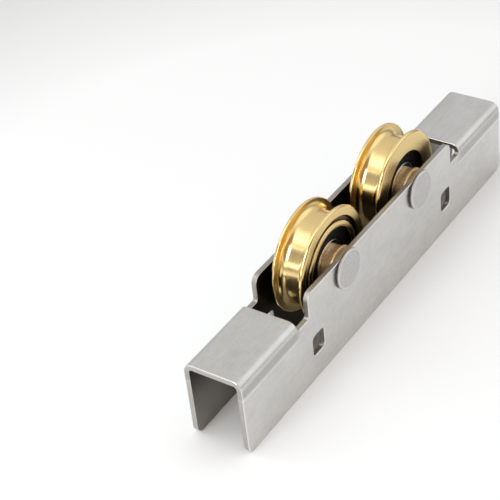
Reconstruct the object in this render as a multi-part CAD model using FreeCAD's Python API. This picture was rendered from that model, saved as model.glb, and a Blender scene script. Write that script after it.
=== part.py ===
import FreeCAD, Part
import math
import os

# Sliding door roller: a bent steel channel that carries two grooved brass wheels in line.
# X runs along the channel, Y across it and Z up. The channel stands on the lower edges of
# its two side walls at Z = 0 with the wheels uppermost. All sizes are in millimetres.

# Channel
SHEET = 1.5
CHANNEL_LENGTH = 132.0
CHANNEL_WIDTH = 16.4
WEB_HEIGHT = 22.4
WEB_LENGTH = 24.2
BEND_RADIUS = 2.4
TAB_HEIGHT = 26.9
TAB_LENGTH = 73.0
TAB_CORNER_RADIUS = 2.3
NOTCH_FLOOR = 19.8
NOTCH_CORNER_RADIUS = 0.8
END_CORNER_RADIUS = 2.2

# Screw hole near each end of both walls
SCREW_HOLE_SPACING = 66.6
SCREW_HOLE_HEIGHT = 10.1
SCREW_HOLE_LENGTH = 5.2
SCREW_HOLE_DEPTH = 6.0
SCREW_HOLE_CORNER = 1.2

# Axles
AXLE_SPACING = 37.2
AXLE_HEIGHT = 22.9
AXLE_RADIUS = 3.0
AXLE_CLEARANCE = 0.05
RIVET_HEAD_RADIUS = 5.4
RIVET_HEAD_THICKNESS = 1.0
RIVET_TAIL_RADIUS = 4.8
RIVET_EDGE_RADIUS = 0.4
RIVET_UNDERCUT = 0.4

# Wheel
WHEEL_RADIUS = 15.0
WHEEL_WIDTH = 9.0
GROOVE_FLOOR_RADIUS = 12.3
GROOVE_HALF_WIDTH = 3.5
GROOVE_CORNER_RADIUS = 2.0
GROOVE_EDGE_RADIUS = 0.25
RIM_EDGE_RADIUS = 0.7
LIP_RADIUS = 9.5
LIP_EDGE_RADIUS = 0.25
STAKED_SIDES = {"front": "near", "rear": "far"}
STAKING_INNER_RADIUS = 11.2
STAKING_OUTER_RADIUS = 12.4
STAKING_DEPTH = 0.9
STAKED_LIP_ROUNDING = 0.6

# Ball bearing, 8 x 22 x 7
BEARING_BORE_RADIUS = 4.0
BEARING_OUTER_RADIUS = 11.0
BEARING_WIDTH = 7.0
INNER_LAND_RADIUS = 6.05
OUTER_LAND_RADIUS = 9.6
RING_CHAMFER = 0.3
BALL_COUNT = 7
BALL_RADIUS = 1.984
BALL_PITCH_RADIUS = 7.8
RACEWAY_CLEARANCE = 0.045
CAGE_INNER_RADIUS = 7.1
CAGE_OUTER_RADIUS = 8.5
CAGE_OPEN_SIDE = -1.4
CAGE_RIM_SIDE = 2.55
CAGE_POCKET_CLEARANCE = 0.08
SEAL_SEAT_RADIUS = 10.0
SEAL_SEAT_FACE = 2.75
SEAL_THICKNESS = 0.6
SEAL_RUNNING_GAP = 0.06

# Flanged spacer on each side of a bearing
SPACER_RADIUS = 4.9
SPACER_FLANGE_RADIUS = 5.35
SPACER_FLANGE_WIDTH = 0.9
SPACER_CHAMFER = 0.25
SPIGOT_GAP = 0.2

HALF_LENGTH = CHANNEL_LENGTH / 2
HALF_WIDTH = CHANNEL_WIDTH / 2
INNER_HALF_WIDTH = HALF_WIDTH - SHEET
WEB_INNER_END = HALF_LENGTH - WEB_LENGTH
HALF_TAB = TAB_LENGTH / 2
WHEEL_POSITIONS = {"front": -AXLE_SPACING / 2, "rear": AXLE_SPACING / 2}
SIDES = {"near": -1, "far": 1}
ALONG_Y = FreeCAD.Vector(0, 1, 0)


def block(low, high):
    """A box between two opposite corners."""
    size = [high[i] - low[i] for i in range(3)]
    return Part.makeBox(size[0], size[1], size[2], FreeCAD.Vector(*low))


def disc(radius, low, high):
    """A cylinder on the Y axis between two Y values."""
    return Part.makeCylinder(radius, high - low, FreeCAD.Vector(0, low, 0), ALONG_Y)


def ring(inner_radius, outer_radius, low, high):
    """A tube on the Y axis between two Y values."""
    return disc(outer_radius, low, high).cut(disc(inner_radius, low, high))


def torus(major_radius, minor_radius):
    """A torus around the Y axis."""
    return Part.makeTorus(major_radius, minor_radius, FreeCAD.Vector(0, 0, 0), ALONG_Y)


def edges_across(shape, x, z):
    """The edges that run along Y at one place in the XZ plane."""
    found = []
    for edge in shape.Edges:
        ends = [vertex.Point for vertex in edge.Vertexes]
        if all(math.hypot(end.x - x, end.z - z) < 0.01 for end in ends):
            found.append(edge)
    return found


def edges_along(shape, y, z):
    """The straight edges that run along X at one place in the YZ plane."""
    found = []
    for edge in shape.Edges:
        ends = [vertex.Point for vertex in edge.Vertexes]
        if all(math.hypot(end.y - y, end.z - z) < 0.01 for end in ends):
            found.append(edge)
    return found


def rim_edges(shape, radius, y_values):
    """The circular edges around the Y axis with one radius at the given Y values."""
    found = []
    for edge in shape.Edges:
        if not isinstance(edge.Curve, Part.Circle):
            continue
        if abs(edge.Curve.Radius - radius) > 0.01:
            continue
        if any(abs(edge.Curve.Center.y - y) < 0.01 for y in y_values):
            found.append(edge)
    return found


def bent_section():
    """The full-length channel before the middle of the web is cut away."""
    outer = block((-HALF_LENGTH, -HALF_WIDTH, 0), (HALF_LENGTH, HALF_WIDTH, WEB_HEIGHT))
    outside_bends = edges_along(outer, -HALF_WIDTH, WEB_HEIGHT)
    outside_bends += edges_along(outer, HALF_WIDTH, WEB_HEIGHT)
    outer = outer.makeFillet(BEND_RADIUS, outside_bends)

    ceiling = WEB_HEIGHT - SHEET
    inner = block(
        (-HALF_LENGTH, -INNER_HALF_WIDTH, 0), (HALF_LENGTH, INNER_HALF_WIDTH, ceiling)
    )
    inside_bends = edges_along(inner, -INNER_HALF_WIDTH, ceiling)
    inside_bends += edges_along(inner, INNER_HALF_WIDTH, ceiling)
    inner = inner.makeFillet(BEND_RADIUS - SHEET, inside_bends)
    return outer.cut(inner)


def wall_tab(side):
    """The raised part of one side wall, which holds the axles."""
    y_limits = sorted((side * HALF_WIDTH, side * INNER_HALF_WIDTH))
    tab = block(
        (-HALF_TAB, y_limits[0], NOTCH_FLOOR - SHEET), (HALF_TAB, y_limits[1], TAB_HEIGHT)
    )
    corners = edges_across(tab, -HALF_TAB, TAB_HEIGHT) + edges_across(tab, HALF_TAB, TAB_HEIGHT)
    return tab.makeFillet(TAB_CORNER_RADIUS, corners)


def screw_hole(x):
    """A cutter for the rounded rectangular hole through both walls."""
    half_length = SCREW_HOLE_LENGTH / 2
    half_depth = SCREW_HOLE_DEPTH / 2
    cutter = block(
        (x - half_length, -CHANNEL_WIDTH, SCREW_HOLE_HEIGHT - half_depth),
        (x + half_length, CHANNEL_WIDTH, SCREW_HOLE_HEIGHT + half_depth),
    )
    corners = []
    for side_x in (x - half_length, x + half_length):
        for side_z in (SCREW_HOLE_HEIGHT - half_depth, SCREW_HOLE_HEIGHT + half_depth):
            corners += edges_across(cutter, side_x, side_z)
    return cutter.makeFillet(SCREW_HOLE_CORNER, corners)


def channel_frame():
    """One bent sheet: two long walls joined by a short web at each end."""
    channel = bent_section()

    window = block(
        (-WEB_INNER_END, -CHANNEL_WIDTH, NOTCH_FLOOR), (WEB_INNER_END, CHANNEL_WIDTH, TAB_HEIGHT)
    )
    corners = edges_across(window, -WEB_INNER_END, NOTCH_FLOOR)
    corners += edges_across(window, WEB_INNER_END, NOTCH_FLOOR)
    channel = channel.cut(window.makeFillet(NOTCH_CORNER_RADIUS, corners))

    for side in SIDES.values():
        channel = channel.fuse(wall_tab(side))
    channel = channel.removeSplitter()
    notch_corners = edges_across(channel, -HALF_TAB, NOTCH_FLOOR)
    notch_corners += edges_across(channel, HALF_TAB, NOTCH_FLOOR)
    channel = channel.makeFillet(NOTCH_CORNER_RADIUS, notch_corners)

    end_corners = edges_across(channel, -HALF_LENGTH, 0) + edges_across(channel, HALF_LENGTH, 0)
    channel = channel.makeFillet(END_CORNER_RADIUS, end_corners)

    for x in (-SCREW_HOLE_SPACING / 2, SCREW_HOLE_SPACING / 2):
        channel = channel.cut(screw_hole(x))
    axle_hole = disc(AXLE_RADIUS, -CHANNEL_WIDTH, CHANNEL_WIDTH)
    for x in WHEEL_POSITIONS.values():
        channel = channel.cut(axle_hole.translated(FreeCAD.Vector(x, 0, AXLE_HEIGHT)))
    return channel


def axle_rivet():
    """A rivet through both walls: broad flat head on the near side, closed end on the far side."""
    shank_radius = AXLE_RADIUS - AXLE_CLEARANCE
    head_face = -HALF_WIDTH - RIVET_HEAD_THICKNESS
    tail_face = HALF_WIDTH + RIVET_HEAD_THICKNESS
    head = disc(RIVET_HEAD_RADIUS, head_face, -HALF_WIDTH)
    head = head.makeFillet(RIVET_EDGE_RADIUS, rim_edges(head, RIVET_HEAD_RADIUS, [head_face]))
    head = head.makeChamfer(RIVET_UNDERCUT, rim_edges(head, RIVET_HEAD_RADIUS, [-HALF_WIDTH]))
    tail = disc(RIVET_TAIL_RADIUS, HALF_WIDTH, tail_face)
    tail = tail.makeFillet(RIVET_EDGE_RADIUS, rim_edges(tail, RIVET_TAIL_RADIUS, [tail_face]))
    shank = disc(shank_radius, -HALF_WIDTH, HALF_WIDTH)
    return head.fuse(shank).fuse(tail).removeSplitter()


def groove_wheel(staked_side):
    """A brass wheel with a flat-bottomed groove, a bearing seat and a lip over each seat end.

    One lip is solid. The other is staked over the bearing and stands inside a ring-shaped recess.
    """
    half_width = WHEEL_WIDTH / 2
    half_bearing = BEARING_WIDTH / 2
    groove_sides = [-GROOVE_HALF_WIDTH, GROOVE_HALF_WIDTH]

    wheel = disc(WHEEL_RADIUS, -half_width, half_width)
    wheel = wheel.makeFillet(
        RIM_EDGE_RADIUS, rim_edges(wheel, WHEEL_RADIUS, [-half_width, half_width])
    )
    groove = ring(GROOVE_FLOOR_RADIUS, 2 * WHEEL_RADIUS, groove_sides[0], groove_sides[1])
    groove = groove.makeFillet(
        GROOVE_CORNER_RADIUS, rim_edges(groove, GROOVE_FLOOR_RADIUS, groove_sides)
    )
    wheel = wheel.cut(groove)
    wheel = wheel.makeFillet(GROOVE_EDGE_RADIUS, rim_edges(wheel, WHEEL_RADIUS, groove_sides))
    wheel = wheel.cut(disc(LIP_RADIUS, -half_width, half_width))
    wheel = wheel.cut(disc(BEARING_OUTER_RADIUS, -half_bearing, half_bearing))

    staked_face = staked_side * half_width
    recess_ends = sorted((staked_face, staked_side * (half_width - STAKING_DEPTH)))
    wheel = wheel.cut(
        ring(STAKING_INNER_RADIUS, STAKING_OUTER_RADIUS, recess_ends[0], recess_ends[1])
    )
    staked_edges = rim_edges(wheel, STAKING_INNER_RADIUS, [staked_face])
    staked_edges += rim_edges(wheel, LIP_RADIUS, [staked_face])
    wheel = wheel.makeFillet(STAKED_LIP_ROUNDING, staked_edges)
    return wheel.makeFillet(LIP_EDGE_RADIUS, rim_edges(wheel, LIP_RADIUS, [-staked_face]))


def bearing_outer_ring():
    """The outer race, with a ball track inside and a seat for a seal at each end."""
    half = BEARING_WIDTH / 2
    race = ring(OUTER_LAND_RADIUS, BEARING_OUTER_RADIUS, -half, half)
    race = race.cut(torus(BALL_PITCH_RADIUS, BALL_RADIUS + RACEWAY_CLEARANCE))
    race = race.cut(disc(SEAL_SEAT_RADIUS, SEAL_SEAT_FACE, half))
    race = race.cut(disc(SEAL_SEAT_RADIUS, -half, -SEAL_SEAT_FACE))
    return race.makeChamfer(RING_CHAMFER, rim_edges(race, BEARING_OUTER_RADIUS, [-half, half]))


def bearing_inner_ring():
    """The inner race, clamped between the two spacers."""
    half = BEARING_WIDTH / 2
    race = ring(BEARING_BORE_RADIUS, INNER_LAND_RADIUS, -half, half)
    race = race.cut(torus(BALL_PITCH_RADIUS, BALL_RADIUS + RACEWAY_CLEARANCE))
    return race.makeChamfer(RING_CHAMFER / 2, rim_edges(race, INNER_LAND_RADIUS, [-half, half]))


def ball_centres():
    """The centres of the balls, starting at the top."""
    centres = []
    for index in range(BALL_COUNT):
        angle = math.pi / 2 + 2 * math.pi * index / BALL_COUNT
        centres.append(
            FreeCAD.Vector(
                BALL_PITCH_RADIUS * math.cos(angle), 0, BALL_PITCH_RADIUS * math.sin(angle)
            )
        )
    return centres


def bearing_balls():
    """All the balls of one bearing."""
    return Part.makeCompound([Part.makeSphere(BALL_RADIUS, centre) for centre in ball_centres()])


def ball_cage():
    """A crown cage: a plain rim on one side and open pockets that hold the balls apart."""
    cage = ring(CAGE_INNER_RADIUS, CAGE_OUTER_RADIUS, CAGE_OPEN_SIDE, CAGE_RIM_SIDE)
    pocket_radius = BALL_RADIUS + CAGE_POCKET_CLEARANCE
    for centre in ball_centres():
        pocket = Part.makeCylinder(
            pocket_radius, BEARING_OUTER_RADIUS, FreeCAD.Vector(0, 0, 0), centre
        )
        cage = cage.cut(pocket)
    return cage


def bearing_seal(side):
    """A rubber seal that sits in the outer race and just clears the inner race."""
    faces = sorted((side * SEAL_SEAT_FACE, side * (SEAL_SEAT_FACE + SEAL_THICKNESS)))
    return ring(INNER_LAND_RADIUS + SEAL_RUNNING_GAP, SEAL_SEAT_RADIUS, faces[0], faces[1])


def bearing_spacer(side):
    """A flanged spacer from one wall to the bearing, with a spigot that fills half its bore."""
    shoulder = side * BEARING_WIDTH / 2
    wall = side * INNER_HALF_WIDTH
    body_ends = sorted((shoulder, wall))
    flange_ends = sorted((wall, wall - side * SPACER_FLANGE_WIDTH))
    spigot_ends = sorted((shoulder, side * SPIGOT_GAP / 2))
    flange = disc(SPACER_FLANGE_RADIUS, flange_ends[0], flange_ends[1])
    flange = flange.makeChamfer(
        SPACER_CHAMFER, rim_edges(flange, SPACER_FLANGE_RADIUS, flange_ends)
    )
    body = disc(SPACER_RADIUS, body_ends[0], body_ends[1])
    spigot = disc(BEARING_BORE_RADIUS, spigot_ends[0], spigot_ends[1])
    spacer = flange.fuse(body).fuse(spigot)
    return spacer.cut(disc(AXLE_RADIUS, -HALF_WIDTH, HALF_WIDTH)).removeSplitter()


def save(name, shape, x=0.0, z=0.0):
    """Write one piece at its place in the assembly."""
    shape.translated(FreeCAD.Vector(x, 0, z)).exportStep("parts/" + name + ".step")


os.makedirs("parts", exist_ok=True)
save("channel_frame", channel_frame())
for place, wheel_x in WHEEL_POSITIONS.items():
    staked_side = SIDES[STAKED_SIDES[place]]
    save(place + "_wheel", groove_wheel(staked_side), wheel_x, AXLE_HEIGHT)
    save(place + "_bearing_outer_ring", bearing_outer_ring(), wheel_x, AXLE_HEIGHT)
    save(place + "_bearing_inner_ring", bearing_inner_ring(), wheel_x, AXLE_HEIGHT)
    save(place + "_bearing_balls", bearing_balls(), wheel_x, AXLE_HEIGHT)
    save(place + "_ball_cage", ball_cage(), wheel_x, AXLE_HEIGHT)
    save(place + "_axle_rivet", axle_rivet(), wheel_x, AXLE_HEIGHT)
    for side_name, side_sign in SIDES.items():
        save(place + "_seal_" + side_name, bearing_seal(side_sign), wheel_x, AXLE_HEIGHT)
        save(place + "_spacer_" + side_name, bearing_spacer(side_sign), wheel_x, AXLE_HEIGHT)
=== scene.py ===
import math

import bmesh
import bpy
from mathutils import Matrix, Vector, geometry


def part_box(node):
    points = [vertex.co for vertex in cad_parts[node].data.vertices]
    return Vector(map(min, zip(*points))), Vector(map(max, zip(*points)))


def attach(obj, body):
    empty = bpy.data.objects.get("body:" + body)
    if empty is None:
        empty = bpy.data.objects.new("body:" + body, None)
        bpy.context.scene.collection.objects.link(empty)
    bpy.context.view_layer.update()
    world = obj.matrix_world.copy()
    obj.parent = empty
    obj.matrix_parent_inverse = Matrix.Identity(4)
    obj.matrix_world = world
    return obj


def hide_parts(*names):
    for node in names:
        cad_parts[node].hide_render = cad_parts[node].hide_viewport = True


# Sizes are in millimetres until a mesh is made; every mesh is in metres, in the CAD frame.
MM = 0.001

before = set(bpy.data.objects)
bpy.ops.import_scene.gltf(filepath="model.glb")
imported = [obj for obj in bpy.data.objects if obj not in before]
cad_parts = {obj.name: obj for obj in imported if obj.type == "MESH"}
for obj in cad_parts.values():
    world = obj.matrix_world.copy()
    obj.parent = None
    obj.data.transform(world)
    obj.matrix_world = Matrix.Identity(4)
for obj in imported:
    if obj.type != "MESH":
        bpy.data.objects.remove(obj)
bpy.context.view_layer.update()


def cad_size(node):
    """A CAD node's lowest and highest corners in millimetres."""
    low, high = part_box(node)
    return low / MM, high / MM


# ---------------------------------------------------------------- sizes shared with the CAD
SHEET = 1.5
BEND_RADIUS = 2.4
WEB_HEIGHT = 22.4
WEB_LENGTH = 24.2
TAB_HALF_LENGTH = 36.5
TAB_CORNER = 2.3
NOTCH_FLOOR = 19.8
NOTCH_CORNER = 0.8
END_CORNER = 2.2
SCREW_HOLE_X = 33.3
SCREW_HOLE_Z = 10.1
SCREW_HOLE_HALF = (2.6, 3.0)
SCREW_HOLE_CORNER = 1.2
AXLE_HOLE_RADIUS = 3.0

WHEEL_RADIUS = 15.0
WHEEL_HALF = 4.5
GROOVE_HALF = 3.5
GROOVE_FLOOR = 12.3
GROOVE_CORNER = 2.0
LIP_RADIUS = 9.5
SEAT_RADIUS = 11.0
SEAT_HALF = 3.5
STAKED_SIDES = {"front": "near", "rear": "far"}

# The ring-shaped recess round the staked lip; its floor is this far from the wheel's middle.
RECESS_INNER = 11.25
RECESS_OUTER = 12.3
RECESS_FLOOR = 3.6

INNER_BORE_RADIUS = 4.0
INNER_LAND_RADIUS = 6.05
BALL_PITCH_RADIUS = 7.8
TRACK_RADIUS = 2.029

channel_high = cad_size("channel_frame")[1]
HALF_LENGTH = channel_high.x
HALF_WIDTH = channel_high.y
TAB_HEIGHT = channel_high.z
WHEELS = {}
for place in ("front", "rear"):
    low, high = cad_size(place + "_axle_rivet")
    WHEELS[place] = ((low.x + high.x) / 2, (low.z + high.z) / 2)

# ---------------------------------------------------------------- sizes of the finer detail
# The line the folding tool leaves on the wall below each bend, at this height.
PRESS_LINE = 17.2
PRESS_HEIGHT = 0.06
PRESS_BELOW = 0.45
PRESS_ABOVE = 2.7

# How the wall's finish and its painted shade change along X, measured from the middle.
FOLD_STARTS = 40.0
FOLD_FULL = 43.0
MIDDLE_SHADE_ENDS = 56.0

# How far along the rivet's profile, from the middle of the head, its painted rim highlight and the
# painted shade below the rim lie.
RIM_HIGHLIGHT_SPAN = (4.9, 5.1, 5.25, 5.4)
UNDERSIDE_SHADE_SPAN = (5.4, 5.8, 8.0, 9.0)


# ---------------------------------------------------------------- node material helpers
class Finish:
    """A material with one Principled shader and short calls for the nodes that feed it."""

    def __init__(self, name, metallic=0.0, specular=0.5):
        self.material = bpy.data.materials.new(name)
        self.material.use_nodes = True
        self.tree = self.material.node_tree
        self.shader = self.tree.nodes["Principled BSDF"]
        self.shader.inputs["Metallic"].default_value = metallic
        self.shader.inputs["Specular IOR Level"].default_value = specular

    def node(self, kind, **values):
        """A new node with some of its settings."""
        made = self.tree.nodes.new(kind)
        for key, value in values.items():
            setattr(made, key, value)
        return made

    def link(self, output, target):
        """Joins an output to an input."""
        self.tree.links.new(output, target)

    def feed(self, target, value):
        """Sets an input to a plain value, or joins it to another node's output."""
        if isinstance(value, (int, float, tuple)):
            target.default_value = value
        else:
            self.link(value, target)

    def math(self, operation, first, second=0.0):
        """A sum, product or other simple measure of one or two values."""
        made = self.node("ShaderNodeMath", operation=operation)
        self.feed(made.inputs[0], first)
        self.feed(made.inputs[1], second)
        return made.outputs[0]

    def add(self, first, second):
        """The sum of two values."""
        return self.math("ADD", first, second)

    def times(self, first, second):
        """The product of two values."""
        return self.math("MULTIPLY", first, second)

    def in_mm(self, stretch=(1.0, 1.0, 1.0)):
        """Object coordinates in millimetres, stretched by a scale for each axis."""
        coordinates = self.node("ShaderNodeTexCoord").outputs["Object"]
        return self.scaled(coordinates, tuple(part / MM for part in stretch))

    def turned(self, around, across):
        """Coordinates on a turned piece: round the axis, and along the profile in millimetres."""
        attribute = self.node("ShaderNodeAttribute", attribute_name="turned")
        return self.scaled(attribute.outputs["Vector"], (around, around, across))

    def scaled(self, vector, stretch):
        """A vector with each part stretched."""
        mapping = self.node("ShaderNodeMapping")
        self.link(vector, mapping.inputs["Vector"])
        mapping.inputs["Scale"].default_value = stretch
        return mapping.outputs["Vector"]

    def attribute(self, name):
        """A number stored on the mesh."""
        return self.node("ShaderNodeAttribute", attribute_name=name).outputs["Fac"]

    def part(self, vector, axis):
        """One part of a vector."""
        made = self.node("ShaderNodeSeparateXYZ")
        self.link(vector, made.inputs["Vector"])
        return made.outputs[axis]

    def noise(self, vector, detail=4.0, roughness=0.5):
        """Random mottling, as fine as the vector is stretched."""
        made = self.node("ShaderNodeTexNoise")
        self.link(vector, made.inputs["Vector"])
        made.inputs["Scale"].default_value = 1.0
        made.inputs["Detail"].default_value = detail
        made.inputs["Roughness"].default_value = roughness
        return made.outputs["Fac"]

    def spread(self, value, low, high, to_low=0.0, to_high=1.0):
        """Maps a range to another, clamped."""
        made = self.node("ShaderNodeMapRange")
        self.feed(made.inputs["Value"], value)
        made.inputs["From Min"].default_value = low
        made.inputs["From Max"].default_value = high
        made.inputs["To Min"].default_value = to_low
        made.inputs["To Max"].default_value = to_high
        return made.outputs["Result"]

    def band(self, value, start, full, ending, end):
        """One between two values, fading out to zero on both sides."""
        return self.times(self.spread(value, start, full), self.spread(value, ending, end, 1.0, 0.0))

    def blend(self, factor, first, second):
        """Mixes two colours."""
        made = self.node("ShaderNodeMix", data_type="RGBA")
        self.feed(made.inputs["Factor"], factor)
        for target, value in ((made.inputs["A"], first), (made.inputs["B"], second)):
            if isinstance(value, tuple):
                target.default_value = value + (1.0,)
            else:
                self.link(value, target)
        return made.outputs["Result"]

    def colour(self, value):
        """Sets the shader's colour."""
        self.feed(self.shader.inputs["Base Color"], value)

    def roughness(self, value):
        """Sets how dull the surface is."""
        self.feed(self.shader.inputs["Roughness"], value)

    def bump(self, height, depth_mm):
        """Makes the surface look uneven, by up to a depth in millimetres."""
        made = self.node("ShaderNodeBump")
        made.inputs["Distance"].default_value = depth_mm * MM
        self.link(height, made.inputs["Height"])
        self.link(made.outputs["Normal"], self.shader.inputs["Normal"])


def sheet_steel():
    """Satin stainless sheet: fine grain along the sheet, soft blotches, outer edges brightened by
    wear and a painted highlight, duller sheared edges, a band of painted shade with a painted
    highlight line along its lower edge under each fold, and an inside painted dark as shade,
    darkest in the middle, where the wheels run, and towards the top under the web."""
    finish = Finish("satin_sheet", metallic=1.0)
    grain = finish.noise(finish.in_mm((0.10, 3.0, 3.0)), detail=3.0)
    blotch = finish.noise(finish.in_mm((0.10, 0.16, 0.16)), detail=3.0)
    mottle = finish.noise(finish.in_mm((0.45, 0.6, 0.6)), detail=3.0, roughness=0.6)
    speckle = finish.noise(finish.in_mm((2.2, 2.2, 2.2)), detail=5.0, roughness=0.7)
    edge, cut, inner = [finish.attribute(name) for name in ("edge", "cut", "inner")]
    place_mm = finish.in_mm()
    height = finish.part(place_mm, "Z")
    from_middle = finish.math("ABSOLUTE", finish.part(place_mm, "X"))

    tone = finish.add(finish.times(grain, 0.2), finish.times(blotch, 0.4))
    tone = finish.spread(finish.add(tone, finish.times(mottle, 0.4)), 0.38, 0.62)
    outside = finish.blend(tone, (0.585, 0.58, 0.56), (0.67, 0.665, 0.645))
    folded = finish.spread(from_middle, FOLD_STARTS, FOLD_FULL)
    # Painted shade: a darker band on the wall just above the press line, under each fold.
    fold_shade_band = finish.band(height, PRESS_LINE, PRESS_LINE + 1.0, PRESS_LINE + 2.4, PRESS_LINE + 3.8)
    outside = finish.blend(finish.times(fold_shade_band, folded), outside, (0.44, 0.435, 0.42))
    # Painted highlight: a bright line along the press line, at the lower edge of the painted shade band.
    line = finish.band(height, PRESS_LINE - 0.35, PRESS_LINE - 0.1, PRESS_LINE, PRESS_LINE + 0.25)
    outside = finish.blend(finish.times(line, folded), outside, (0.80, 0.79, 0.77))

    # Painted shade: the inside of the sheet is coloured darker than the outside, darkest in the middle,
    # where the wheels run.
    middle_shade = finish.spread(from_middle, FOLD_STARTS, MIDDLE_SHADE_ENDS, 1.0, 0.0)
    inside_shade = finish.blend(middle_shade, (0.28, 0.265, 0.24), (0.065, 0.05, 0.035))
    # Painted shade under the web: the inside darkens towards the top.
    shade_under_web = finish.spread(height, 11.0, 20.0, 0.0, 0.7)
    inside_shade = finish.blend(shade_under_web, inside_shade, (0.05, 0.05, 0.045))

    base = finish.blend(inner, outside, inside_shade)
    sheared = finish.blend(speckle, (0.28, 0.26, 0.235), (0.50, 0.48, 0.45))
    base = finish.blend(cut, base, sheared)
    # Brighter outer edges: partly wear, partly a painted highlight on the rounded edge.
    finish.colour(finish.blend(finish.times(edge, 0.6), base, (0.80, 0.795, 0.78)))

    rough = finish.spread(finish.add(grain, finish.times(speckle, 0.6)), 0.5, 1.1, 0.25, 0.38)
    rough = finish.math("SUBTRACT", rough, finish.times(edge, 0.08))
    finish.roughness(finish.add(rough, finish.times(cut, 0.14)))
    finish.bump(finish.add(finish.times(grain, 0.4), speckle), 0.003)
    return finish.material


def wheel_brass():
    """Polished brass with fine turning marks, duller side faces and painted shade in the recess round the
    staked lip.
    """
    finish = Finish("polished_brass", metallic=1.0)
    lines = finish.noise(finish.turned(0.4, 9.0), detail=5.0, roughness=0.6)
    broad = finish.noise(finish.turned(1.6, 0.5), detail=3.0)
    base = finish.blend(finish.spread(broad, 0.3, 0.7), (0.86, 0.64, 0.28), (0.915, 0.70, 0.33))

    facing = finish.part(finish.node("ShaderNodeTexCoord").outputs["Normal"], "Y")
    side_face = finish.spread(finish.math("ABSOLUTE", facing), 0.85, 0.97)
    base = finish.blend(side_face, base, (0.80, 0.605, 0.27))

    # Painted shade: the recess round the staked lip is coloured dark brown.
    radius = finish.attribute("radius")
    ring = finish.band(radius, RECESS_INNER - 0.25, RECESS_INNER + 0.05, RECESS_OUTER, RECESS_OUTER + 0.2)
    from_centre = finish.math("ABSOLUTE", finish.part(finish.in_mm(), "Y"))
    depth = finish.band(
        from_centre, RECESS_FLOOR - 0.05, RECESS_FLOOR - 0.01, RECESS_FLOOR + 0.4, RECESS_FLOOR + 0.85
    )
    finish.colour(finish.blend(finish.times(ring, depth), base, (0.16, 0.09, 0.04)))

    rough = finish.add(finish.spread(lines, 0.35, 0.65, 0.10, 0.17), finish.times(broad, 0.06))
    finish.roughness(finish.add(rough, finish.times(side_face, 0.12)))
    finish.bump(lines, 0.0035)
    return finish.material


def spacer_bronze():
    """Dull bronze sleeve with coarse turning marks and a grainy surface."""
    finish = Finish("spacer_bronze", metallic=1.0)
    lines = finish.noise(finish.turned(0.8, 5.0), detail=5.0, roughness=0.6)
    grain = finish.noise(finish.in_mm((2.5, 2.5, 2.5)), detail=6.0, roughness=0.7)
    finish.colour(finish.blend(finish.spread(grain, 0.42, 0.68), (0.66, 0.43, 0.21), (1.0, 0.78, 0.48)))
    finish.roughness(finish.spread(lines, 0.3, 0.7, 0.38, 0.55))
    finish.bump(finish.add(lines, finish.times(grain, 1.2)), 0.03)
    return finish.material


def rivet_steel():
    """Matte grey rivet: a mottled face with a painted highlight on its rim and painted shade on its side
    towards the wall.
    """
    finish = Finish("rivet_steel", metallic=1.0)
    lines = finish.noise(finish.turned(0.7, 5.0), roughness=0.6)
    mottle = finish.noise(finish.in_mm((1.3, 1.3, 1.3)), detail=6.0, roughness=0.7)
    tone = finish.spread(mottle, 0.35, 0.65)
    base = finish.blend(tone, (0.48, 0.475, 0.465), (0.62, 0.61, 0.60))
    along = finish.node("ShaderNodeAttribute", attribute_name="turned").outputs["Vector"]
    along = finish.part(along, "Z")
    # Painted highlight: a brighter ring round the rim of the head.
    base = finish.blend(finish.band(along, *RIM_HIGHLIGHT_SPAN), base, (0.74, 0.73, 0.72))
    # Painted shade: the side of the head, towards the wall, is coloured dark.
    underside_shade = finish.times(finish.band(along, *UNDERSIDE_SHADE_SPAN), 0.8)
    finish.colour(finish.blend(underside_shade, base, (0.20, 0.18, 0.16)))
    finish.roughness(finish.spread(mottle, 0.3, 0.7, 0.34, 0.50))
    finish.bump(finish.add(lines, finish.times(mottle, 1.2)), 0.02)
    return finish.material


def plain_finish(name, stretch, detail, dark, pale, rough, depth_mm, metallic=0.0, specular=0.5):
    """A material with one fine grain, for the pieces that are the same all over. It runs between
    two colours and two roughnesses, and the grain is a depth in millimetres."""
    finish = Finish(name, metallic=metallic, specular=specular)
    grain = finish.noise(finish.in_mm(stretch), *detail)
    finish.colour(finish.blend(grain, dark, pale))
    finish.roughness(finish.spread(grain, 0.3, 0.7, *rough))
    finish.bump(grain, depth_mm)
    return finish.material


FINISHES = {
    "bent_sheet": sheet_steel(),
    "wheel_brass": wheel_brass(),
    "bearing_steel": plain_finish(
        "bearing_steel",
        stretch=(3.0, 8.0, 3.0),
        detail=(4.0,),
        dark=(0.66, 0.66, 0.67),
        pale=(0.76, 0.76, 0.77),
        rough=(0.14, 0.24),
        depth_mm=0.002,
        metallic=1.0,
    ),
    "cage_plastic": plain_finish(
        "cage_nylon",
        stretch=(1.5, 1.5, 1.5),
        detail=(4.0,),
        dark=(0.50, 0.45, 0.34),
        pale=(0.60, 0.55, 0.43),
        rough=(0.40, 0.52),
        depth_mm=0.01,
        specular=0.45,
    ),
    "seal_rubber": plain_finish(
        "seal_rubber",
        stretch=(4.0, 4.0, 4.0),
        detail=(5.0, 0.6),
        dark=(0.003, 0.003, 0.004),
        pale=(0.008, 0.008, 0.009),
        rough=(0.45, 0.62),
        depth_mm=0.02,
        specular=0.15,
    ),
    "spacer_bronze": spacer_bronze(),
    "rivet_steel": rivet_steel(),
}


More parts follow.
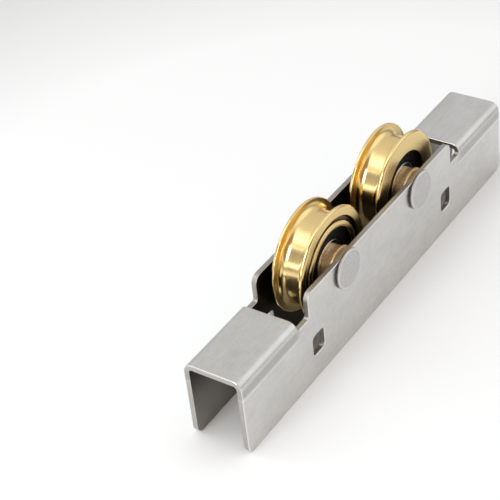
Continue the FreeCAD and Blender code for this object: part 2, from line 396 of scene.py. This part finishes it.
# ---------------------------------------------------------------- outlines
def rounded(corners, steps=8):
    """A closed outline from corners (a, b, radius), with each corner turned into an arc."""
    outline = []
    count = len(corners)
    for index, (a, b, radius) in enumerate(corners):
        corner = Vector((a, b))
        if radius <= 0:
            outline.append(corner)
            continue
        before = Vector(corners[index - 1][:2])
        after = Vector(corners[(index + 1) % count][:2])
        back = (before - corner).normalized()
        ahead = (after - corner).normalized()
        half_angle = back.angle(ahead) / 2
        start = corner + back * (radius / math.tan(half_angle))
        end = corner + ahead * (radius / math.tan(half_angle))
        centre = corner + (back + ahead).normalized() * (radius / math.sin(half_angle))
        first = math.atan2(start.y - centre.y, start.x - centre.x)
        sweep = math.atan2(end.y - centre.y, end.x - centre.x) - first
        sweep = (sweep + math.pi) % (2 * math.pi) - math.pi
        for step in range(steps + 1):
            angle = first + sweep * step / steps
            outline.append(centre + radius * Vector((math.cos(angle), math.sin(angle))))
    return outline


def arc_points(centre, radius, first, last, steps):
    """Points on an arc between two angles."""
    points = []
    for step in range(steps + 1):
        angle = first + (last - first) * step / steps
        points.append((centre[0] + radius * math.cos(angle), centre[1] + radius * math.sin(angle)))
    return points


def finish_piece(name, mesh, body, slot, replaced):
    """Makes the object, gives it its finish and ties it to its body."""
    piece = bpy.data.objects.new(name, mesh)
    bpy.context.scene.collection.objects.link(piece)
    mesh.materials.append(FINISHES[slot])
    for polygon in mesh.polygons:
        polygon.use_smooth = True
    weighted = piece.modifiers.new("even_shading", "WEIGHTED_NORMAL")
    weighted.weight = 90
    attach(piece, body)
    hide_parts(*replaced)


# ---------------------------------------------------------------- the bent sheet
# The sheet is drawn flat, as (x, distance along the sheet), and then bent.
BEND_LENGTH = BEND_RADIUS * math.pi / 2
BEND_START = WEB_HEIGHT - BEND_RADIUS
WEB_FLAT = 2 * (HALF_WIDTH - BEND_RADIUS)
SHEET_SPAN = 2 * BEND_START + 2 * BEND_LENGTH + WEB_FLAT
WEB_INNER_END = HALF_LENGTH - WEB_LENGTH
NOTCH_MIDDLE = (WEB_INNER_END + TAB_HALF_LENGTH) / 2
BEND_STEPS = 10
PRESS_STEPS_BELOW = 5
PRESS_STEPS_ABOVE = 8
SMALLEST_STEP = 0.02
OUTER_EDGE = 0.25
INNER_EDGE = 0.14
EDGE_STEPS = 4
AXLE_HOLE_STEPS = 48

# Where, along the length of a web, the lines across the sheet's ends have their points.
END_SHARES = (0.03, 0.5, 0.97)

# Points of the flat sheet closer than this are one point.
SAME_POINT = 1e-5

# How strongly the outer outline looks cut. The window and holes are at 1.
END_CUT_MARK = 0.65


def press_mark(x, along):
    """How far the fold has pushed the wall out, steeply below the press line, gently above it."""
    if abs(x) < WEB_INNER_END:
        return 0.0
    reach = PRESS_BELOW if along < PRESS_LINE else PRESS_ABOVE
    share = max(0.0, 1 - abs(along - PRESS_LINE) / reach)
    return PRESS_HEIGHT * math.sin(math.pi / 2 * share) ** 2


def bent(x, along, depth):
    """Where a point of the flat sheet lies once it is bent. Depth runs in from the outside."""
    far = along > SHEET_SPAN / 2
    if far:
        along = SHEET_SPAN - along
    if depth < SHEET / 2:
        depth -= press_mark(x, along)
    if abs(x) < NOTCH_MIDDLE or along <= BEND_START:
        y = -HALF_WIDTH + depth
        z = along
    elif along < BEND_START + BEND_LENGTH:
        angle = (along - BEND_START) / BEND_RADIUS
        reach = BEND_RADIUS - depth
        y = -HALF_WIDTH + BEND_RADIUS - reach * math.cos(angle)
        z = BEND_START + reach * math.sin(angle)
    else:
        y = -HALF_WIDTH + BEND_RADIUS + along - BEND_START - BEND_LENGTH
        z = WEB_HEIGHT - depth
    if far:
        y = -y
    return Vector((x, y, z)) * MM


def bend_levels():
    """The lines across the flat sheet where it is divided to bend smoothly."""
    near = [BEND_START + BEND_LENGTH * step / BEND_STEPS for step in range(BEND_STEPS + 1)]
    for reach, steps in ((-PRESS_BELOW, PRESS_STEPS_BELOW), (PRESS_ABOVE, PRESS_STEPS_ABOVE)):
        near += [PRESS_LINE + reach * step / steps for step in range(steps + 1)]
    near.sort()
    spaced = [near[0]]
    for before, level in zip(near, near[1:]):
        if level - before > SMALLEST_STEP:
            spaced.append(level)
    return spaced + [SHEET_SPAN - level for level in spaced]


def split_at_levels(outline, levels):
    """Adds a point wherever a side of the outline crosses a bend line."""
    result = []
    for index, start in enumerate(outline):
        end = outline[(index + 1) % len(outline)]
        result.append(start)
        rise = end.y - start.y
        if abs(rise) < 1e-6:
            continue
        shares = sorted((level - start.y) / rise for level in levels)
        for share in shares:
            if 1e-3 < share < 1 - 1e-3:
                result.append(start.lerp(end, share))
    return result


def inset(outline, distance):
    """The outline moved sideways, to the left of its direction."""
    moved = []
    for index, point in enumerate(outline):
        before = (point - outline[index - 1]).normalized()
        after = (outline[(index + 1) % len(outline)] - point).normalized()
        left_before = Vector((-before.y, before.x))
        left_after = Vector((-after.y, after.x))
        moved.append(point + (left_before + left_after) * (distance / (1 + left_before.dot(left_after))))
    return moved


def signed_area(outline):
    """The outline's area, positive when it runs anticlockwise."""
    doubled = 0.0
    for index, point in enumerate(outline):
        before = outline[index - 1]
        doubled += before.x * point.y - point.x * before.y
    return doubled / 2


def turned_to(outline, anticlockwise):
    """The outline, reversed if it runs the wrong way round."""
    return outline if (signed_area(outline) > 0) == anticlockwise else outline[::-1]


def screw_hole(end, far):
    """One rounded rectangular hole, at the front (-1) or rear (1) end of a wall."""
    middle = SHEET_SPAN - SCREW_HOLE_Z if far else SCREW_HOLE_Z
    corners = []
    for x_side, z_side in ((-1, -1), (1, -1), (1, 1), (-1, 1)):
        x = end * SCREW_HOLE_X + x_side * SCREW_HOLE_HALF[0]
        corners.append((x, middle + z_side * SCREW_HOLE_HALF[1], SCREW_HOLE_CORNER))
    return rounded(corners)


def sheet_outlines():
    """The flat sheet's outer outline, then its window and holes."""
    outer = rounded(
        [
            (-HALF_LENGTH, 0, END_CORNER),
            (HALF_LENGTH, 0, END_CORNER),
            (HALF_LENGTH, SHEET_SPAN, END_CORNER),
            (-HALF_LENGTH, SHEET_SPAN, END_CORNER),
        ]
    )
    edge = [
        (-WEB_INNER_END, NOTCH_FLOOR, NOTCH_CORNER),
        (-TAB_HALF_LENGTH, NOTCH_FLOOR, NOTCH_CORNER),
        (-TAB_HALF_LENGTH, TAB_HEIGHT, TAB_CORNER),
        (TAB_HALF_LENGTH, TAB_HEIGHT, TAB_CORNER),
        (TAB_HALF_LENGTH, NOTCH_FLOOR, NOTCH_CORNER),
        (WEB_INNER_END, NOTCH_FLOOR, NOTCH_CORNER),
    ]
    far_edge = [(x, SHEET_SPAN - along, radius) for x, along, radius in reversed(edge)]
    holes = [rounded(edge + far_edge)]
    for end in (-1, 1):
        for far in (False, True):
            holes.append(screw_hole(end, far))
    for wheel_x, wheel_z in WHEELS.values():
        for middle in (wheel_z, SHEET_SPAN - wheel_z):
            circle = arc_points((wheel_x, middle), AXLE_HOLE_RADIUS, 0, 2 * math.pi, AXLE_HOLE_STEPS)
            holes.append([Vector(point) for point in circle[:-1]])
    levels = bend_levels()
    outer = split_at_levels(turned_to(outer, True), levels)
    return [outer] + [split_at_levels(turned_to(hole, False), levels) for hole in holes]


def edge_rings():
    """(inset, depth) steps that round the sheet's cut edge over from the outside to the inside."""
    angles = [math.pi / 2 * step / EDGE_STEPS for step in range(EDGE_STEPS + 1)]
    rings = [(OUTER_EDGE * (1 - math.sin(angle)), OUTER_EDGE * (1 - math.cos(angle))) for angle in angles]
    for angle in angles:
        depth = SHEET - INNER_EDGE + INNER_EDGE * math.sin(angle)
        rings.append((INNER_EDGE * (1 - math.cos(angle)), depth))
    return rings


def inside(point, outline):
    """Whether a point lies inside a closed outline."""
    within = False
    for index, end in enumerate(outline):
        start = outline[index - 1]
        if (start.y > point.y) != (end.y > point.y):
            crossing = start.x + (point.y - start.y) * (end.x - start.x) / (end.y - start.y)
            if point.x < crossing:
                within = not within
    return within


def fill_sheet(bm, loops, depth, flip):
    """Fills one face of the sheet between the vertices of its outlines. Both ends of the sheet are
    also divided along the bend and press lines. Returns every vertex of the face."""
    points, owners, edges = [], [], []
    for outline, vertices in loops:
        first = len(points)
        points += outline
        owners += vertices
        edges += [(first + i, first + (i + 1) % len(outline)) for i in range(len(outline))]
    for level in bend_levels():
        for end in (-1, 1):
            first = len(points)
            for share in END_SHARES:
                x = end * (WEB_INNER_END + share * WEB_LENGTH)
                points.append(Vector((x, level)))
                owners.append(bm.verts.new(bent(x, level, depth)))
            edges += [(first, first + 1), (first + 1, first + 2)]
    result = geometry.delaunay_2d_cdt(points, edges, [], 1, SAME_POINT)
    flat, triangles, origins = result[0], result[2], result[3]
    outer = loops[0][0]
    holes = [outline for outline, _ in loops[1:]]
    for triangle in triangles:
        middle = sum((flat[i] for i in triangle), Vector((0, 0))) / 3
        if not inside(middle, outer) or any(inside(middle, hole) for hole in holes):
            continue
        corners = [owners[origins[i][0]] for i in triangle]
        bm.faces.new(corners[::-1] if flip else corners)
    return owners


def make_channel():
    """The bent sheet, with rounded cut edges, a window, notches and holes."""
    bm = bmesh.new()
    rings = edge_rings()
    outer_face, inner_face = [], []
    edge_wear_and_highlight, sheared, ends = [], [], []
    outer, *openings = sheet_outlines()
    for outline in [outer] + openings:
        rows = []
        for number, (distance, depth) in enumerate(rings):
            moved = inset(outline, distance)
            row = [bm.verts.new(bent(point.x, point.y, depth)) for point in moved]
            rows.append(row)
            # These rows are the rounded outer edge, brightened for wear and a painted highlight.
            if 0 < number < EDGE_STEPS:
                edge_wear_and_highlight += row
            if EDGE_STEPS <= number <= EDGE_STEPS + 1:
                (ends if outline is outer else sheared).extend(row)
            if number == 0:
                outer_face.append((moved, row))
            if number == len(rings) - 1:
                inner_face.append((moved, row))
        count = len(outline)
        for upper, lower in zip(rows, rows[1:]):
            for i in range(count):
                j = (i + 1) % count
                bm.faces.new((upper[j], upper[i], lower[i], lower[j]))
    fill_sheet(bm, outer_face, 0.0, False)
    # The inside face; its vertices carry the mark by which the inside is painted dark as shade.
    dull = fill_sheet(bm, inner_face, SHEET, True)
    bm.verts.index_update()
    marks = []
    for name, vertices, level in (
        ("edge", edge_wear_and_highlight, 1.0),
        ("cut", sheared, 1.0),
        ("cut", ends, END_CUT_MARK),
        ("inner", dull, 1.0),
    ):
        marks.append((name, [vertex.index for vertex in vertices], level))
    mesh = bpy.data.meshes.new("channel")
    bm.to_mesh(mesh)
    bm.free()
    for name in ("edge", "cut", "inner"):
        mesh.attributes.new(name, "FLOAT", "POINT")
    for name, numbers, level in marks:
        for number in numbers:
            mesh.attributes[name].data[number].value = level
    finish_piece("channel", mesh, "frame", "bent_sheet", ["channel_frame"])


# ---------------------------------------------------------------- turned pieces
SEGMENTS = 160
WHEEL_SEGMENTS = 256
TRACK_STEPS = 16


def lathe(name, profile, place, body, slot, replaced, segments=SEGMENTS):
    """Turns a closed profile of (radius, y) points about one axle."""
    centre_x, centre_z = WHEELS[place]
    bm = bmesh.new()
    turned = bm.verts.layers.float_vector.new("turned")
    from_axle = bm.verts.layers.float.new("radius")
    lengths = [0.0]
    for before, after in zip(profile, profile[1:]):
        lengths.append(lengths[-1] + math.dist(before, after))
    rows = []
    for (radius, y), length in zip(profile, lengths):
        row = []
        for segment in range(segments):
            angle = 2 * math.pi * segment / segments
            x = centre_x + radius * math.cos(angle)
            z = centre_z + radius * math.sin(angle)
            vertex = bm.verts.new(Vector((x, y, z)) * MM)
            vertex[turned] = Vector((math.cos(angle), math.sin(angle), length))
            vertex[from_axle] = radius
            row.append(vertex)
        rows.append(row)
    count = len(profile)
    for number in range(count):
        upper, lower = rows[number], rows[(number + 1) % count]
        for i in range(segments):
            j = (i + 1) % segments
            bm.faces.new((upper[i], upper[j], lower[j], lower[i]))
    bmesh.ops.remove_doubles(bm, verts=bm.verts, dist=1e-7)
    bmesh.ops.recalc_face_normals(bm, faces=bm.faces)
    mesh = bpy.data.meshes.new(name)
    bm.to_mesh(mesh)
    bm.free()
    finish_piece(name, mesh, body, slot, replaced)


def section(corners, steps):
    """A closed profile of (radius, y) points, from corners (radius, y, corner radius)."""
    return [tuple(point) for point in rounded(corners, steps=steps)]


def mirrored(profile, side):
    """A near-side profile, or its mirror image on the far side."""
    return [(radius, y * -side) for radius, y in profile]


def groove_side():
    """Corners from the outside of a rim down into the flat-bottomed groove, on the near side."""
    return [
        (WHEEL_RADIUS, -WHEEL_HALF, 0.7),
        (WHEEL_RADIUS, -GROOVE_HALF, 0.25),
        (GROOVE_FLOOR, -GROOVE_HALF, GROOVE_CORNER),
    ]


def solid_side():
    """Corners of the near side with the solid lip: a flat face from the bore out to the rim."""
    return [
        (SEAT_RADIUS, -SEAT_HALF, 0.1),
        (LIP_RADIUS, -SEAT_HALF, 0.1),
        (LIP_RADIUS, -WHEEL_HALF, 0.3),
    ]


def staked_side():
    """Corners of the near side with the staked lip: a rounded bead inside a recess."""
    return [
        (SEAT_RADIUS, -SEAT_HALF, 0.1),
        (LIP_RADIUS, -SEAT_HALF, 0.1),
        (LIP_RADIUS, -4.38, 0.35),
        (10.3, -WHEEL_HALF, 1.0),
        (11.2, -4.38, 0.4),
        (RECESS_INNER, -RECESS_FLOOR, 0.2),
        (RECESS_OUTER, -RECESS_FLOOR, 0.25),
        (12.45, -WHEEL_HALF, 0.2),
    ]


def wheel_profile(staked):
    """Section of the brass wheel, with its staked lip on the near or the far side."""
    near = (staked_side() if staked == "near" else solid_side()) + groove_side()
    far = (staked_side() if staked == "far" else solid_side()) + groove_side()
    return section(near + [(radius, -y, corner) for radius, y, corner in reversed(far)], 10)


def seal_profile():
    """A flat rubber seal with a shallow dished band and a thicker running lip."""
    corners = [
        (6.12, -3.20, 0.08),
        (6.12, -2.75, 0.05),
        (9.98, -2.75, 0.05),
        (9.98, -3.30, 0.08),
        (9.20, -3.35, 0.05),
        (8.90, -3.22, 0.1),
        (7.20, -3.22, 0.1),
        (6.90, -3.35, 0.1),
    ]
    return section(corners, 4)


def spacer_profile():
    """A flanged sleeve: spigot in the bearing bore, body, and a flange that meets the wall."""
    corners = [
        (3.0, -0.1, 0.05),
        (4.0, -0.1, 0.1),
        (4.0, -3.5, 0.05),
        (4.9, -3.5, 0.15),
        (4.9, -5.75, 0.45),
        (5.35, -5.95, 0.15),
        (5.35, -6.6, 0.2),
        (5.1, -6.7, 0.1),
        (3.0, -6.7, 0.05),
    ]
    return section(corners, 5)


def rivet_profile():
    """A rivet with a broad pressed head, undercut towards the wall, and a smaller closed end."""
    corners = [
        (0.0, -9.10, 0),
        (2.5, -9.10, 0),
        (4.55, -9.10, 0.2),
        (4.75, -9.20, 0.15),
        (5.15, -9.18, 0.2),
        (5.4, -8.95, 0.15),
        (5.4, -8.65, 0.15),
        (5.0, -8.2, 0.05),
        (2.95, -8.2, 0),
        (2.95, 8.2, 0),
        (4.8, 8.2, 0.12),
        (4.8, 9.05, 0.45),
        (3.4, 9.18, 0),
        (0.0, 9.2, 0),
    ]
    return section(corners, 5)


def inner_ring_profile():
    """The inner race, with a track that just clears the balls."""
    half_angle = math.acos((BALL_PITCH_RADIUS - INNER_LAND_RADIUS) / TRACK_RADIUS)
    start = math.pi + half_angle
    end = math.pi - half_angle
    track = arc_points((BALL_PITCH_RADIUS, 0), TRACK_RADIUS, start, end, TRACK_STEPS)
    near = [(INNER_BORE_RADIUS, -SEAT_HALF, 0.15), (INNER_LAND_RADIUS, -SEAT_HALF, 0.15)]
    far = [(INNER_LAND_RADIUS, SEAT_HALF, 0.15), (INNER_BORE_RADIUS, SEAT_HALF, 0.15)]
    return section(near + [(radius, y, 0) for radius, y in track] + far, 4)


def make_wheel_set(place):
    """The wheel, its race, rivet, seals and sleeves, at the front or the rear."""
    wheel_body = place + "_wheel_set"
    wheel = wheel_profile(STAKED_SIDES[place])
    wheel_node = place + "_wheel"
    wheel_name = place + "_brass_wheel"
    lathe(wheel_name, wheel, place, wheel_body, "wheel_brass", [wheel_node], WHEEL_SEGMENTS)
    race_node = place + "_bearing_inner_ring"
    lathe(place + "_inner_race", inner_ring_profile(), place, "frame", "bearing_steel", [race_node])
    lathe(place + "_rivet", rivet_profile(), place, "frame", "rivet_steel", [place + "_axle_rivet"])
    for side_name, side in (("near", -1), ("far", 1)):
        seal = mirrored(seal_profile(), side)
        seal_node = place + "_seal_" + side_name
        seal_name = place + "_rubber_seal_" + side_name
        lathe(seal_name, seal, place, wheel_body, "seal_rubber", [seal_node])
        sleeve = mirrored(spacer_profile(), side)
        sleeve_node = place + "_spacer_" + side_name
        sleeve_name = place + "_sleeve_" + side_name
        lathe(sleeve_name, sleeve, place, "frame", "spacer_bronze", [sleeve_node])


def finish_cad_pieces():
    """Gives the CAD pieces that are shown as they are a material of their own."""
    slots = {
        "bearing_outer_ring": "bearing_steel",
        "bearing_balls": "bearing_steel",
        "ball_cage": "cage_plastic",
    }
    for node, slot in slots.items():
        for place in WHEELS:
            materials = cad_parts[place + "_" + node].data.materials
            materials.clear()
            materials.append(FINISHES[slot])


# ---------------------------------------------------------------- floor, light and camera
# Metres from here on.
FLOOR_HALF = 3.0
LIGHT_POOL_FROM = 0.14
LIGHT_POOL_TO = 0.40

# Degrees above the left horizon, and the light's radiance there.
SKY_BANDS = [
    (0, 0.34),
    (9, 2.6),
    (17, 0.56),
    (40, 0.42),
    (54, 1.05),
    (73, 2.20),
    (86, 1.50),
    (100, 0.90),
    (130, 0.78),
    (168, 0.70),
    (180, 0.45),
]
SKY_PEAK = 3.0

LAMP_TARGET = Vector((0, 0, 0.02))
STRIP_PLACE = Vector((-0.51, 0.0, 0.61))
BOX_DISTANCE = 0.6

CAMERA_AIM = Vector((-10.6, 27.2, 10.8)) * MM
CAMERA_DISTANCE = 402.0 * MM
CAMERA_AZIMUTH = -52.35
CAMERA_ELEVATION = 37.11
CAMERA_ROLL = -6.94
CAMERA_LENS = 108.6


def make_floor():
    """A plain pale floor, with a painted pool of light: its colour darkens far from the object."""
    half = FLOOR_HALF
    corners = [(-half, -half, 0), (half, -half, 0), (half, half, 0), (-half, half, 0)]
    mesh = bpy.data.meshes.new("floor")
    mesh.from_pydata(corners, [], [(0, 1, 2, 3)])
    ground = bpy.data.objects.new("floor", mesh)
    bpy.context.scene.collection.objects.link(ground)
    finish = Finish("pale_floor", specular=0.2)
    distance = finish.node("ShaderNodeVectorMath", operation="LENGTH")
    finish.link(finish.node("ShaderNodeTexCoord").outputs["Object"], distance.inputs[0])
    # Painted falloff of light: the floor's colour darkens between these distances from the object.
    far = finish.spread(distance.outputs["Value"], LIGHT_POOL_FROM, LIGHT_POOL_TO)
    finish.colour(finish.blend(far, (0.88, 0.90, 0.915), (0.30, 0.30, 0.30)))
    finish.roughness(0.8)
    mesh.materials.append(finish.material)


def direction(azimuth, elevation):
    """The unit vector from the object towards an azimuth and elevation, in degrees."""
    a = math.radians(azimuth)
    e = math.radians(elevation)
    return Vector((math.sin(a) * math.cos(e), -math.cos(a) * math.cos(e), math.sin(e)))


def soft_light(name, position, size, power):
    """A white rectangular lamp that points at the object."""
    light = bpy.data.lights.new(name, "AREA")
    light.shape = "RECTANGLE"
    light.size, light.size_y = size
    light.energy = power
    lamp = bpy.data.objects.new(name, light)
    bpy.context.scene.collection.objects.link(lamp)
    lamp.location = position
    lamp.rotation_mode = "QUATERNION"
    lamp.rotation_quaternion = (LAMP_TARGET - position).to_track_quat("-Z", "Y")


class Sky:
    """Builds the node tree of the surrounding light, one measure at a time."""

    def __init__(self):
        world = bpy.data.worlds.new("studio")
        bpy.context.scene.world = world
        world.use_nodes = True
        self.tree = world.node_tree
        self.background = self.tree.nodes["Background"]
        self.facing = self.tree.nodes.new("ShaderNodeTexCoord").outputs["Generated"]

    def fill(self, socket, value):
        """Sets an input to a plain value, or joins it to another node's output."""
        if isinstance(value, (int, float, Vector)):
            socket.default_value = value
        else:
            self.tree.links.new(value, socket)

    def math(self, operation, first, second):
        """A product, quotient or other measure of two values."""
        node = self.tree.nodes.new("ShaderNodeMath")
        node.operation = operation
        self.fill(node.inputs[0], first)
        self.fill(node.inputs[1], second)
        return node.outputs["Value"]

    def bands(self):
        """Long soft bands along the wheel axles, from the left horizon over the top to the right."""
        parts = self.tree.nodes.new("ShaderNodeSeparateXYZ")
        self.fill(parts.inputs["Vector"], self.facing)
        leftward = self.math("MULTIPLY", parts.outputs["X"], -1.0)
        height = self.math("ARCTAN2", parts.outputs["Z"], leftward)
        ramp = self.tree.nodes.new("ShaderNodeValToRGB")
        ramp.color_ramp.interpolation = "EASE"
        stops = ramp.color_ramp.elements
        while len(stops) < len(SKY_BANDS):
            stops.new(0.5)
        for stop, (angle, radiance) in zip(stops, SKY_BANDS):
            level = radiance / SKY_PEAK
            stop.position = angle / 180
            stop.color = (level, level, level, 1.0)
        self.fill(ramp.inputs["Fac"], self.math("DIVIDE", height, math.pi))
        return ramp.outputs["Color"]

    def card(self, light, middle, inner, outer, colour):
        """Puts a soft-edged card in one direction, fading out between two angles from its middle."""
        share = self.tree.nodes.new("ShaderNodeVectorMath")
        share.operation = "DOT_PRODUCT"
        self.fill(share.inputs[0], self.facing)
        self.fill(share.inputs[1], middle)
        cover = self.tree.nodes.new("ShaderNodeMapRange")
        cover.interpolation_type = "SMOOTHSTEP"
        self.fill(cover.inputs["Value"], share.outputs["Value"])
        self.fill(cover.inputs["From Min"], math.cos(math.radians(outer)))
        self.fill(cover.inputs["From Max"], math.cos(math.radians(inner)))
        mix = self.tree.nodes.new("ShaderNodeMix")
        mix.data_type = "RGBA"
        self.fill(mix.inputs["Factor"], cover.outputs["Result"])
        self.fill(mix.inputs["A"], light)
        mix.inputs["B"].default_value = tuple(part / SKY_PEAK for part in colour) + (1.0,)
        return mix.outputs["Result"]


def make_sky():
    """Soft bands of light, with a dim warm card near the camera and a white one to its right."""
    light = Sky()
    colour = light.card(light.bands(), direction(-45, 38), 22, 45, (0.37, 0.24, 0.14))
    colour = light.card(colour, direction(46, 31), 10, 34, (1.20, 1.20, 1.20))
    light.fill(light.background.inputs["Color"], colour)
    light.background.inputs["Strength"].default_value = SKY_PEAK


def make_studio():
    """The surrounding light, and a long thin lamp and a broad one at the front end."""
    make_sky()
    soft_light("left_strip", STRIP_PLACE, (1.2, 0.022), 0.12)
    soft_light("left_box", direction(-90, 36) * BOX_DISTANCE, (0.32, 0.32), 1.45)
    bpy.context.scene.view_settings.view_transform = "Standard"


def make_camera():
    """The camera, at the photograph's viewing angle."""
    back = direction(CAMERA_AZIMUTH, CAMERA_ELEVATION)
    data = bpy.data.cameras.new("camera")
    data.lens = CAMERA_LENS
    data.clip_start = 0.01
    data.clip_end = 20.0
    viewer = bpy.data.objects.new("camera", data)
    bpy.context.scene.collection.objects.link(viewer)
    facing = (-back).to_track_quat("-Z", "Y").to_matrix().to_4x4()
    roll = Matrix.Rotation(math.radians(CAMERA_ROLL), 4, "Z")
    viewer.matrix_world = Matrix.Translation(CAMERA_AIM + back * CAMERA_DISTANCE) @ facing @ roll
    bpy.context.scene.camera = viewer


make_channel()
for place in WHEELS:
    make_wheel_set(place)
finish_cad_pieces()
make_floor()
make_studio()
make_camera()
